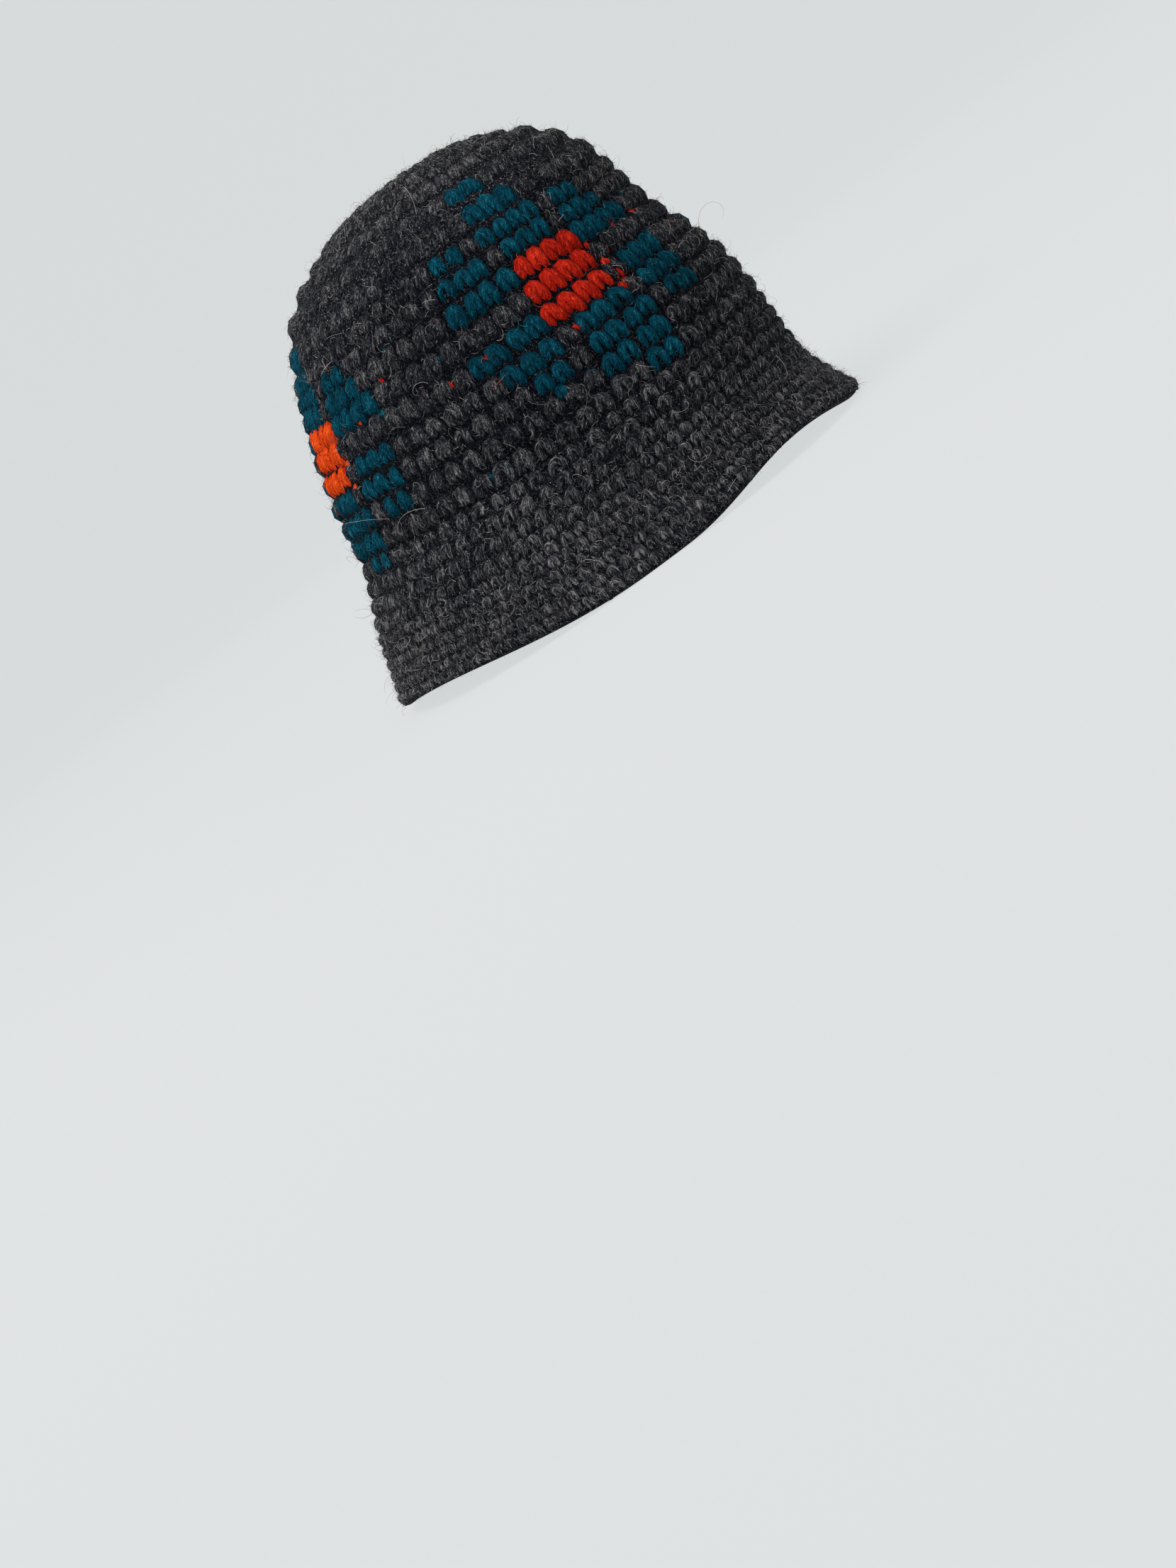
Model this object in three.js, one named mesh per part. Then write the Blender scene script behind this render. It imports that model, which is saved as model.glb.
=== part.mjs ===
// A crochet bucket hat of chunky wool, worked from the middle of the crown down in rounds.
// Millimetres, +Z up. It rests brim down on z = 0, its front toward -Y, its wearer's right side toward -X.
// Azimuth 0 is the front and turns toward +X, so the wearer's right side is at azimuth 270.
import * as THREE from "three";

// Driving dimensions
const CROWN_WALL = 8.0;
const BRIM_WALL = 6.8;
const PIECE_GAP = 0.4;
const SEGMENTS = 48;
const DEGREE = Math.PI / 180;

// Level sections through the crests of the rounds, each an ellipse, from the rim up.
// forward is how far the ellipse's centre lies toward the front.
const SECTIONS = [
  { height: 3, halfLength: 131.8, halfWidth: 121.4, forward: 0.0 },
  { height: 12, halfLength: 128.0, halfWidth: 117.4, forward: -0.9 },
  { height: 27, halfLength: 122.6, halfWidth: 112.9, forward: -2.1 },
  { height: 40, halfLength: 119.5, halfWidth: 109.7, forward: -0.8 },
  { height: 53, halfLength: 116.4, halfWidth: 106.8, forward: 2.6 },
  { height: 67, halfLength: 113.7, halfWidth: 104.2, forward: 5.5 },
  { height: 80, halfLength: 111.9, halfWidth: 102.4, forward: 6.1 },
  { height: 93, halfLength: 109.5, halfWidth: 100.6, forward: 6.1 },
  { height: 103, halfLength: 105.9, halfWidth: 98.3, forward: 5.4 },
  { height: 115, halfLength: 101.3, halfWidth: 95.1, forward: 4.0 },
  { height: 127, halfLength: 96.7, halfWidth: 91.6, forward: 3.7 },
  { height: 140, halfLength: 92.4, halfWidth: 88.1, forward: 4.5 },
  { height: 152, halfLength: 88.6, halfWidth: 84.7, forward: 6.1 },
  { height: 162, halfLength: 84.3, halfWidth: 80.5, forward: 7.2 },
  { height: 171.5, halfLength: 78.4, halfWidth: 74.9, forward: 7.6 },
  { height: 180, halfLength: 70.1, halfWidth: 67.1, forward: 8.0 },
  { height: 187, halfLength: 59.4, halfWidth: 56.9, forward: 8.5 },
  { height: 192.5, halfLength: 47.2, halfWidth: 45.5, forward: 8.7 },
  { height: 196.8, halfLength: 34.0, halfWidth: 33.2, forward: 8.9 },
  { height: 199.3, halfLength: 17.4, halfWidth: 17.0, forward: 9.0 },
  { height: 200.2, halfLength: 0.0, halfWidth: 0.0, forward: 9.0 },
];

// The rounds of crochet from the middle of the crown down. Each round is a ridge; pitch is its width
// along the wall, relief how deep the groove between two ridges is, and crests where its rings lie.
const ROUNDS = [
  { piece: "crown_top", rounds: 6, pitch: 9.6, relief: 2.4, crests: [0.34, 0.68] },
  { piece: "crown_top", rounds: 1, pitch: 13.6, relief: 2.4, crests: [0.34, 0.68] },
  { piece: "crown_side", rounds: 2, pitch: 14.0, relief: 2.8, crests: [0.3, 0.7] },
  { piece: "crown_side", rounds: 2, pitch: 10.1, relief: 2.8, crests: [0.3, 0.7] },
  { piece: "crown_side", rounds: 3, pitch: 12.1, relief: 2.8, crests: [0.3, 0.7] },
  { piece: "crown_side", rounds: 4, pitch: 10.6, relief: 2.8, crests: [0.3, 0.7] },
  { piece: "brim", rounds: 4, pitch: 7.3, relief: 2.0, crests: [0.3, 0.7] },
  { piece: "brim", rounds: 6, pitch: 5.7, relief: 1.5, crests: [0.5] },
];

// The fabric stretches unevenly, so the rounds stand above or below their level place. One row for every
// 30 degrees: how far up at each of three stations down the wall. A station's value is gone at the next ones.
const SWAY = [
  { azimuth: 0, high: -1.5, middle: 0.0, low: 0.0 },
  { azimuth: 30, high: 0.0, middle: 0.0, low: 0.0 },
  { azimuth: 60, high: 0.5, middle: 0.5, low: 0.5 },
  { azimuth: 90, high: 0.0, middle: 1.0, low: 1.0 },
  { azimuth: 120, high: -0.5, middle: 3.0, low: 2.0 },
  { azimuth: 150, high: -3.0, middle: 5.5, low: 4.0 },
  { azimuth: 180, high: -5.0, middle: 7.5, low: 6.5 },
  { azimuth: 210, high: -0.8, middle: 5.2, low: 3.4 },
  { azimuth: 240, high: 1.8, middle: 0.0, low: -0.8 },
  { azimuth: 270, high: -1.4, middle: 0.6, low: 0.4 },
  { azimuth: 300, high: -5.4, middle: 0.4, low: 0.2 },
  { azimuth: 330, high: -4.0, middle: 0.0, low: 0.0 },
];
const SWAY_STATIONS = { from: 0.19, high: 0.38, middle: 0.575, low: 0.76, to: 1.0 };

// The brim's rim waves: it lies on the surface at four places and lifts between them. One row for each turning
// point of the wave, and how far up the wall the wave reaches.
const RIM = [
  { azimuth: 10, lift: 7.5 },
  { azimuth: 44, lift: 0.0 },
  { azimuth: 54, lift: 0.0 },
  { azimuth: 90, lift: 7.0 },
  { azimuth: 126, lift: 0.0 },
  { azimuth: 136, lift: 0.0 },
  { azimuth: 193, lift: 8.3 },
  { azimuth: 247, lift: 0.0 },
  { azimuth: 256, lift: 0.0 },
  { azimuth: 288, lift: 7.8 },
  { azimuth: 329, lift: 0.0 },
  { azimuth: 338, lift: 0.0 },
];
const RIM_REACH = 60;

// The rim's rounded lower edge, and how far apart the smooth rings of the inner wall are.
const LIP_ROUNDING = 1.7;
const LIP_HEIGHT = 5;
const INNER_STEP = 17;

const WOOL = {
  crown_top: { color: 0x434144, roughness: 0.95 },
  crown_side: { color: 0x3f3d40, roughness: 0.95 },
  brim: { color: 0x454346, roughness: 0.95 },
};

// The outline as one smooth curve, first point at the middle of the crown.
const downward = [...SECTIONS].reverse();
const outline = new THREE.SplineCurve(downward.map((s) => new THREE.Vector2(s.halfLength, s.height)));
const breadth = new THREE.SplineCurve(downward.map((s) => new THREE.Vector2(s.halfWidth, s.forward)));

function sectionAt(t) {
  const { x: halfLength, y: height } = outline.getPoint(t);
  const { x: halfWidth, y: forward } = breadth.getPoint(t);
  return { halfLength, halfWidth, height, forward, radius: (halfLength + halfWidth) / 2 };
}

// Distance along the wall from the middle of the crown, tabulated over the curve's parameter.
const STEPS = 800;
const travelled = [0];
for (let i = 1; i <= STEPS; i++) {
  const a = sectionAt((i - 1) / STEPS);
  const b = sectionAt(i / STEPS);
  travelled.push(travelled[i - 1] + Math.hypot(b.radius - a.radius, b.height - a.height));
}
const WALL_LENGTH = travelled[STEPS];

function parameterAt(distance) {
  let i = 1;
  while (i < STEPS && travelled[i] < distance) i++;
  const share = (distance - travelled[i - 1]) / (travelled[i] - travelled[i - 1]);
  return THREE.MathUtils.clamp((i - 1 + share) / STEPS, 0, 1);
}

// How far the rim's wave lifts the wall at an azimuth, half a cosine wave from each turning point to the next,
// fading out up the brim.
function lift(azimuth, height) {
  const first = RIM[0].azimuth;
  const turned = first + THREE.MathUtils.euclideanModulo(azimuth / DEGREE - first, 360);
  const row = RIM.findLastIndex((point) => point.azimuth <= turned);
  const from = RIM[row];
  const to = RIM[row + 1] ?? { azimuth: first + 360, lift: RIM[0].lift };
  const eased = 0.5 - 0.5 * Math.cos((Math.PI * (turned - from.azimuth)) / (to.azimuth - from.azimuth));
  const fade = Math.max(0, 1 - height / RIM_REACH) ** 2;
  return (from.lift + (to.lift - from.lift) * eased) * fade;
}

// How far up the wall a round's points stand at an azimuth: a smooth closed curve through SWAY's rows.
const swayCurves = {};
for (const station of ["high", "middle", "low"]) {
  const points = SWAY.map((row) => new THREE.Vector2(row[station], 0));
  swayCurves[station] = new THREE.SplineCurve([...points.slice(-2), ...points, ...points.slice(0, 3)]);
}

function sway(distance, azimuth) {
  const { from, high, middle, low, to } = SWAY_STATIONS;
  const share = distance / WALL_LENGTH;
  const around = ((azimuth / (2 * Math.PI)) * SWAY.length + 2) / (SWAY.length + 4);
  const nearness = (before, at, after) =>
    Math.max(0, Math.min((share - before) / (at - before), (after - share) / (after - at)));
  const value = (station) => swayCurves[station].getPoint(around).x;
  return (
    value("high") * nearness(from, high, middle) +
    value("middle") * nearness(high, middle, low) +
    value("low") * nearness(middle, low, to)
  );
}

// One closed loop round the hat, depth below the crests and square to the wall.
// A given level sets the loop's height instead of the wall's own.
function ring(distance, depth, level = null) {
  const loop = [];
  for (let i = 0; i < SEGMENTS; i++) {
    const azimuth = (i / SEGMENTS) * 2 * Math.PI;
    const t = parameterAt(distance - sway(distance, azimuth));
    const here = sectionAt(t);
    const before = sectionAt(Math.max(0, t - 1 / STEPS));
    const after = sectionAt(Math.min(1, t + 1 / STEPS));
    const run = Math.hypot(after.radius - before.radius, after.height - before.height);
    const out = (before.height - after.height) / run;
    const up = (after.radius - before.radius) / run;
    const height = level ?? here.height - depth * up;
    loop.push(
      new THREE.Vector3(
        (here.halfWidth - depth * out) * Math.sin(azimuth),
        -here.forward - (here.halfLength - depth * out) * Math.cos(azimuth),
        height + lift(azimuth, Math.max(0, height)),
      ),
    );
  }
  return loop;
}

function pole(depth) {
  const top = sectionAt(0);
  return [new THREE.Vector3(0, -top.forward, top.height - depth)];
}

// Joins loops of points, in order, into one closed surface. A loop of one point closes an end,
// and where both ends are open the last loop joins the first.
function closedSurface(loops) {
  const position = loops.flat().flatMap((p) => [p.x, p.y, p.z]);
  const start = [];
  let count = 0;
  for (const loop of loops) {
    start.push(count);
    count += loop.length;
  }
  const index = [];
  const joins = loops[0].length === 1 ? loops.length - 1 : loops.length;
  for (let k = 0; k < joins; k++) {
    const next = (k + 1) % loops.length;
    for (let i = 0; i < SEGMENTS; i++) {
      const j = (i + 1) % SEGMENTS;
      const a = start[k] + (loops[k].length === 1 ? 0 : i);
      const b = start[k] + (loops[k].length === 1 ? 0 : j);
      const c = start[next] + (loops[next].length === 1 ? 0 : i);
      const d = start[next] + (loops[next].length === 1 ? 0 : j);
      if (c !== d) index.push(a, c, d);
      if (a !== b) index.push(a, d, b);
    }
  }
  const geometry = new THREE.BufferGeometry();
  geometry.setAttribute("position", new THREE.Float32BufferAttribute(position, 3));
  geometry.setIndex(index);
  geometry.computeVertexNormals();
  return geometry;
}

// The ridged outer rings of each piece, with the rounds stretched alike to fill the wall.
const stretch = WALL_LENGTH / ROUNDS.reduce((sum, zone) => sum + zone.rounds * zone.pitch, 0);
const pieces = new Map();
let distance = 0;
for (const zone of ROUNDS) {
  const pitch = zone.pitch * stretch;
  const piece = pieces.get(zone.piece) ?? { from: distance, relief: zone.relief, outer: [] };
  for (let round = 0; round < zone.rounds; round++) {
    if (distance > piece.from) piece.outer.push(ring(distance, zone.relief));
    for (const share of zone.crests) piece.outer.push(ring(distance + share * pitch, 0));
    distance += pitch;
  }
  piece.to = distance;
  pieces.set(zone.piece, piece);
}

// Smooth rings of the inner wall between two distances, from the lower one up.
function innerRings(from, to, wall) {
  const count = Math.max(1, Math.round((to - from) / INNER_STEP));
  const rings = [];
  for (let k = 0; k <= count; k++) rings.push(ring(to - ((to - from) * k) / count, wall));
  return rings;
}

function crownTop({ to, relief, outer }) {
  const edge = to - PIECE_GAP / 2;
  const inner = innerRings(INNER_STEP, edge, CROWN_WALL);
  return closedSurface([pole(relief), ...outer, ring(edge, relief), ...inner, pole(CROWN_WALL)]);
}

function crownSide({ from, to, relief, outer }) {
  const top = from + PIECE_GAP / 2;
  const edge = to - PIECE_GAP / 2;
  const inner = innerRings(top, edge, CROWN_WALL);
  return closedSurface([ring(top, relief), ...outer, ring(edge, relief), ...inner]);
}

function brim({ from, to, relief, outer }) {
  const top = from + PIECE_GAP / 2;
  const inner = innerRings(top, to - LIP_HEIGHT, BRIM_WALL);
  const lip = [ring(to, LIP_ROUNDING, 0), ring(to, BRIM_WALL - LIP_ROUNDING, 0)];
  return closedSurface([ring(top, relief), ...outer, ...lip, ...inner]);
}

const shapes = { crown_top: crownTop, crown_side: crownSide, brim };
const hat = new THREE.Group();
for (const [name, piece] of pieces) {
  const material = new THREE.MeshStandardMaterial({ ...WOOL[name], metalness: 0 });
  const mesh = new THREE.Mesh(shapes[name](piece), material);
  mesh.name = name;
  hat.add(mesh);
}

export default hat;
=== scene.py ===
import bpy
import numpy as np
from mathutils import Matrix, Vector


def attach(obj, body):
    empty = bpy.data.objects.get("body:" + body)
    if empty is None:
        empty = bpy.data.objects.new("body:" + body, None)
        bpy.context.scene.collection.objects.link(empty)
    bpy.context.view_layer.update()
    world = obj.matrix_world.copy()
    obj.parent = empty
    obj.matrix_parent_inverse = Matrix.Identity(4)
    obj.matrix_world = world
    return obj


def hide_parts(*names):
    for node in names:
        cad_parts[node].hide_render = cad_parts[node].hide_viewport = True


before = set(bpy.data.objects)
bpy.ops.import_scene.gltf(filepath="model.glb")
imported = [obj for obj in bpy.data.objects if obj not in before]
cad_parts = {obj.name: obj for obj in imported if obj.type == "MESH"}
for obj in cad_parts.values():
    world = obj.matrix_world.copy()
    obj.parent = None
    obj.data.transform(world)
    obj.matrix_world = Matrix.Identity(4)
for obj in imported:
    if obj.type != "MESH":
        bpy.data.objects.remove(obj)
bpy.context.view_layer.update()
chance = np.random.default_rng(28)
MM = 0.001

# The wall of the hat, inside and behind the stitches
# The real hat is one wall of wool, crocheted in rounds from the middle of the crown down. Here its ground
# is three closed shells, one for each solid, with the short bars of the wrong side on the inside. The
# tables are in millimetres, and in degrees from the front toward the wearer's left.
SECTIONS = np.array(
    [
        (200.2, 0.0, 0.0, 9.0),
        (199.3, 17.4, 17.0, 9.0),
        (196.8, 34.0, 33.2, 8.9),
        (192.5, 47.2, 45.5, 8.7),
        (187.0, 59.4, 56.9, 8.5),
        (180.0, 70.1, 67.1, 8.0),
        (171.5, 78.4, 74.9, 7.6),
        (162.0, 84.3, 80.5, 7.2),
        (152.0, 88.6, 84.7, 6.1),
        (140.0, 92.4, 88.1, 4.5),
        (127.0, 96.7, 91.6, 3.7),
        (115.0, 101.3, 95.1, 4.0),
        (103.0, 105.9, 98.3, 5.4),
        (93.0, 109.5, 100.6, 6.1),
        (80.0, 111.9, 102.4, 6.1),
        (67.0, 113.7, 104.2, 5.5),
        (53.0, 116.4, 106.8, 2.6),
        (40.0, 119.5, 109.7, -0.8),
        (27.0, 122.6, 112.9, -2.1),
        (12.0, 128.0, 117.4, -0.9),
        (3.0, 131.8, 121.4, 0.0),
    ],
    dtype=[("height", float), ("half_length", float), ("half_width", float), ("forward", float)],
)
ROUNDS = np.array(
    [
        ("crown_top", 6, 9.6, 0.0, 0.9),
        ("crown_top", 1, 13.6, 0.0, 0.8),
        ("crown_side", 2, 14.0, 0.0, 0.8),
        ("crown_side", 2, 10.1, 0.0, 1.3),
        ("crown_side", 3, 12.1, 0.0, 1.6),
        ("crown_side", 4, 10.6, 0.1, 1.5),
        ("brim", 4, 7.3, 0.6, 1.1),
        ("brim", 6, 5.7, 1.0, 0.9),
    ],
    dtype=[("piece", "U12"), ("rounds", int), ("pitch", float), ("snug", float), ("groove", float)],
)
SWAY = np.array(
    [
        (0, -1.5, 0.0, 0.0),
        (30, 0.0, 0.0, 0.0),
        (60, 0.5, 0.5, 0.5),
        (90, 0.0, 1.0, 1.0),
        (120, -0.5, 3.0, 2.0),
        (150, -3.0, 5.5, 4.0),
        (180, -5.0, 7.5, 6.5),
        (210, -0.8, 5.2, 3.4),
        (240, 1.8, 0.0, -0.8),
        (270, -1.4, 0.6, 0.4),
        (300, -5.4, 0.4, 0.2),
        (330, -4.0, 0.0, 0.0),
    ],
    dtype=[("azimuth", float), ("high", float), ("middle", float), ("low", float)],
)
SWAY_STATIONS = (0.19, 0.38, 0.575, 0.76, 1.0)
TOP_STITCHES = [7, 14, 21, 28, 35, 42, 49]
SIDE_STITCHES = [56, 60] + 9 * [68]
BRIM_STITCHES = [72, 80, 92, 100, 106, 110, 114, 118, 122, 126]
STITCHES = np.array(TOP_STITCHES + SIDE_STITCHES + BRIM_STITCHES)
CROWN_WALL = 8.0 * MM
BRIM_WALL = 6.8 * MM
RIM = np.array(
    [
        (10, 7.5),
        (44, 0.0),
        (54, 0.0),
        (90, 7.0),
        (126, 0.0),
        (136, 0.0),
        (193, 8.3),
        (247, 0.0),
        (256, 0.0),
        (288, 7.8),
        (329, 0.0),
        (338, 0.0),
    ],
    dtype=[("azimuth", float), ("lift", float)],
)
RIM_REACH = 60 * MM
FLOOR_CLEAR = 0.15 * MM
OUTLINE_POINTS = 801


def through(points, share):
    """Smooth curve through points: between two of them it is the cubic whose slope at each end is half the
    step between that point's neighbours. share runs from 0 at the first point to 1 at the last."""
    place = np.asarray(share, float) * (len(points) - 1)
    first = np.minimum(place.astype(int), len(points) - 2)
    part = (place - first)[..., None]
    ends = np.vstack([points[:1], points, points[-1:]])
    before, here, after, beyond = (ends[first + k] for k in range(4))
    leave = (after - before) / 2
    arrive = (beyond - here) / 2
    cubic = 2 * here - 2 * after + leave + arrive
    square = 3 * after - 3 * here - 2 * leave - arrive
    return ((cubic * part + square) * part + leave) * part + here


columns = [SECTIONS[name] * MM for name in ("half_length", "half_width", "height", "forward")]
OUTLINE = through(np.stack(columns, -1), np.linspace(0, 1, OUTLINE_POINTS))
radius_change = np.gradient(OUTLINE[:, :2].mean(1))
height_change = np.gradient(OUTLINE[:, 2])
OUTWARD = -height_change / np.hypot(radius_change, height_change)
UPWARD = radius_change / np.hypot(radius_change, height_change)
walked = np.hypot(np.diff(OUTLINE[:, :2].mean(1)), np.diff(OUTLINE[:, 2]))
TRAVELLED = np.concatenate([[0], np.cumsum(walked)])
WALL_LENGTH = TRAVELLED[-1]


def rim_lift(azimuth):
    """How far the rim's wave lifts it: half a cosine wave from each of its turning points to the next."""
    turned = (np.asarray(azimuth) - np.radians(RIM["azimuth"][0])) % (2 * np.pi)
    places = np.radians(np.append(RIM["azimuth"], RIM["azimuth"][0] + 360) - RIM["azimuth"][0])
    lifts = np.append(RIM["lift"], RIM["lift"][0]) * MM
    place = np.interp(turned, places, np.arange(len(places)))
    row = np.minimum(place.astype(int), len(RIM) - 1)
    return lifts[row] + (lifts[row + 1] - lifts[row]) * (0.5 - 0.5 * np.cos(np.pi * (place - row)))


def wall(distance, azimuth, depth):
    """A point of the hat's wall: on the outline's ellipse at that distance from the middle of the crown,
    moved in by depth, square to the outline, and raised by the rim's wave, which fades up the brim. No point
    goes below the surface that the hat rests on, where the wool lies flat."""
    half_length, half_width, height, forward = (np.interp(distance, TRAVELLED, c) for c in OUTLINE.T)
    out = np.interp(distance, TRAVELLED, OUTWARD)
    up = np.interp(distance, TRAVELLED, UPWARD)
    past = np.maximum(distance - WALL_LENGTH, 0)
    grown = past * up - depth * out
    x = (half_width + grown) * np.sin(azimuth)
    y = -forward - (half_length + grown) * np.cos(azimuth)
    level = height - depth * up - past * out
    z = level + rim_lift(azimuth) * np.clip(1 - np.maximum(level, 0) / RIM_REACH, 0, 1) ** 2
    return np.stack(np.broadcast_arrays(x, y, np.maximum(z, FLOOR_CLEAR)), -1)


def sway(distance, azimuth):
    """How far the rounds stand above their level place, since the fabric stretches unevenly: three values at
    each azimuth, on a smooth closed curve through SWAY's rows, each strongest at its own station down the
    wall and gone at the next ones."""
    rows = np.stack([SWAY[name] * MM for name in ("high", "middle", "low")], -1)
    around = np.vstack([rows[-2:], rows, rows[:3]])
    share = (np.asarray(azimuth) / (2 * np.pi) % 1 * len(rows) + 2) / (len(around) - 1)
    values = through(around, share)
    share = np.asarray(distance) / WALL_LENGTH
    nearness = [np.interp(share, SWAY_STATIONS, np.eye(len(SWAY_STATIONS))[k]) for k in (1, 2, 3)]
    return sum(values[..., k] * nearness[k] for k in range(3))


def arc_radius(distance, azimuth):
    """How far a point of the wall moves along its round for each radian of azimuth."""
    half_length = np.interp(distance, TRAVELLED, OUTLINE[:, 0])
    half_width = np.interp(distance, TRAVELLED, OUTLINE[:, 1])
    return np.hypot(half_width * np.cos(azimuth), half_length * np.sin(azimuth))


PITCH = np.repeat(ROUNDS["pitch"], ROUNDS["rounds"])
PITCH = PITCH * WALL_LENGTH / PITCH.sum()
STARTS = np.concatenate([[0], np.cumsum(PITCH)])
SNUG = np.repeat(ROUNDS["snug"], ROUNDS["rounds"])
GROOVE = np.repeat(ROUNDS["groove"], ROUNDS["rounds"]) * MM
SIDE_FROM = ROUNDS["rounds"][ROUNDS["piece"] == "crown_top"].sum()
BRIM_FROM = SIDE_FROM + ROUNDS["rounds"][ROUNDS["piece"] == "crown_side"].sum()
ROUND_COUNT = len(PITCH)

# The flower's chart, a line for each round of the crown's side and a letter for each stitch:
# T is teal, R red and a dot charcoal. Its middle is between the sixth and the seventh letter.
FLOWER = [
    "...TT.......",
    "...TTT......",
    "TT.TTTT.TT..",
    "TTT.TTT.TTT.",
    "TTTTRRRRTTTT",
    "....RRRR....",
    "TTTTRRRR.TTT",
    ".TTT.TTT.TTT",
    "..TT.TTTT.TT",
    ".....TTTT...",
    ".......TT...",
]
CHART = np.array([[".TR".index(letter) for letter in line] for line in FLOWER])
CHARCOAL, TEAL, RED = 0, 1, 2
FLOWERS = 4
LOW_FLOWER = 3
CENTRE_ROUND = SIDE_FROM + 5
FLOWER_MIDDLE = np.radians(270.75)
LEAN_PER_ROUND = np.radians(0.85)
FIRST_TURN = np.radians(1.6)
BACK_TURN = np.radians(2.4)


def dye_of(round_number, stitch):
    """The colour of a stitch, and which of the four flowers its quarter holds. Stitches are counted from the
    first flower's middle, a quarter of the round belongs to each flower, and the low one's chart starts a
    round later."""
    count = STITCHES[round_number]
    quarter = np.floor((stitch + count / (2 * FLOWERS)) / (count / FLOWERS)).astype(int)
    column = np.floor(stitch - quarter * count / FLOWERS + 0.5).astype(int) + CHART.shape[1] // 2
    flower = quarter % FLOWERS
    row = round_number - SIDE_FROM - (flower == LOW_FLOWER)
    inside = (row >= 0) & (row < CHART.shape[0]) & (column >= 0) & (column < CHART.shape[1])
    row = np.clip(row, 0, CHART.shape[0] - 1)
    column = np.clip(column, 0, CHART.shape[1] - 1)
    return np.where(inside, CHART[row, column], CHARCOAL), flower


def round_start(round_number):
    """The azimuth of the first flower's middle in a round, from which its stitches are counted. Each round
    starts a little behind the one above it, so the flowers lean, and the side's first two start further
    on."""
    first = (np.asarray(round_number) >= SIDE_FROM) & (np.asarray(round_number) < SIDE_FROM + 2)
    return FLOWER_MIDDLE - LEAN_PER_ROUND * (round_number - CENTRE_ROUND) + FIRST_TURN * first


def mesh_piece(name, points, faces):
    """A smooth mesh object from an array of points and arrays of faces, one for each number of corners."""
    mesh = bpy.data.meshes.new(name)
    corners = np.concatenate([f.ravel() for f in faces])
    sizes = np.concatenate([np.full(len(f), f.shape[1]) for f in faces])
    mesh.vertices.add(len(points))
    mesh.vertices.foreach_set("co", np.ascontiguousarray(points, np.float32).ravel())
    mesh.loops.add(len(corners))
    mesh.loops.foreach_set("vertex_index", corners.astype(np.int32))
    mesh.polygons.add(len(sizes))
    mesh.polygons.foreach_set("loop_start", (np.cumsum(sizes) - sizes).astype(np.int32))
    mesh.polygons.foreach_set("use_smooth", np.full(len(sizes), True))
    mesh.update(calc_edges=True)
    mesh.validate()
    piece = bpy.data.objects.new(name, mesh)
    bpy.context.scene.collection.objects.link(piece)
    return piece


def give(piece, name, values):
    """Stores a number, or a vector of three, for each vertex of a piece under a plain name."""
    kind, key = ("FLOAT_VECTOR", "vector") if values.ndim == 2 else ("FLOAT", "value")
    attribute = piece.data.attributes.new(name, kind, "POINT")
    attribute.data.foreach_set(key, np.ascontiguousarray(values, np.float32).ravel())


def grid_faces(rows, columns, closed_rows):
    """Four-cornered faces of a grid whose columns always join up, and whose rows may. Rows run down the
    outside of the wall and columns to the right as seen from outside, so the faces point out."""
    row = np.arange(rows if closed_rows else rows - 1)[:, None]
    column = np.arange(columns)[None, :]
    beside = (column + 1) % columns
    here = row * columns
    below = (row + 1) % rows * columns
    corners = (here + column, below + column, below + beside, here + beside)
    return np.stack(np.broadcast_arrays(*corners), -1).reshape(-1, 4)


GROUND_RELIEF = 0.4 * MM
# Painted shade on the outside of the ground: darkest where its groove between rounds is deepest.
GROUND_PAINTED_SHADE = -0.12
BAR_RELIEF = 0.9 * MM
BAR_LEAN = 0.3
OUTER_ROWS = 3
INNER_ROWS = 4
OVERLAP = 0.4 * MM
POLE_HOLE = 1.0 * MM
LIP_ROWS = 7
LIP_BULGE = 0.5


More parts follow.
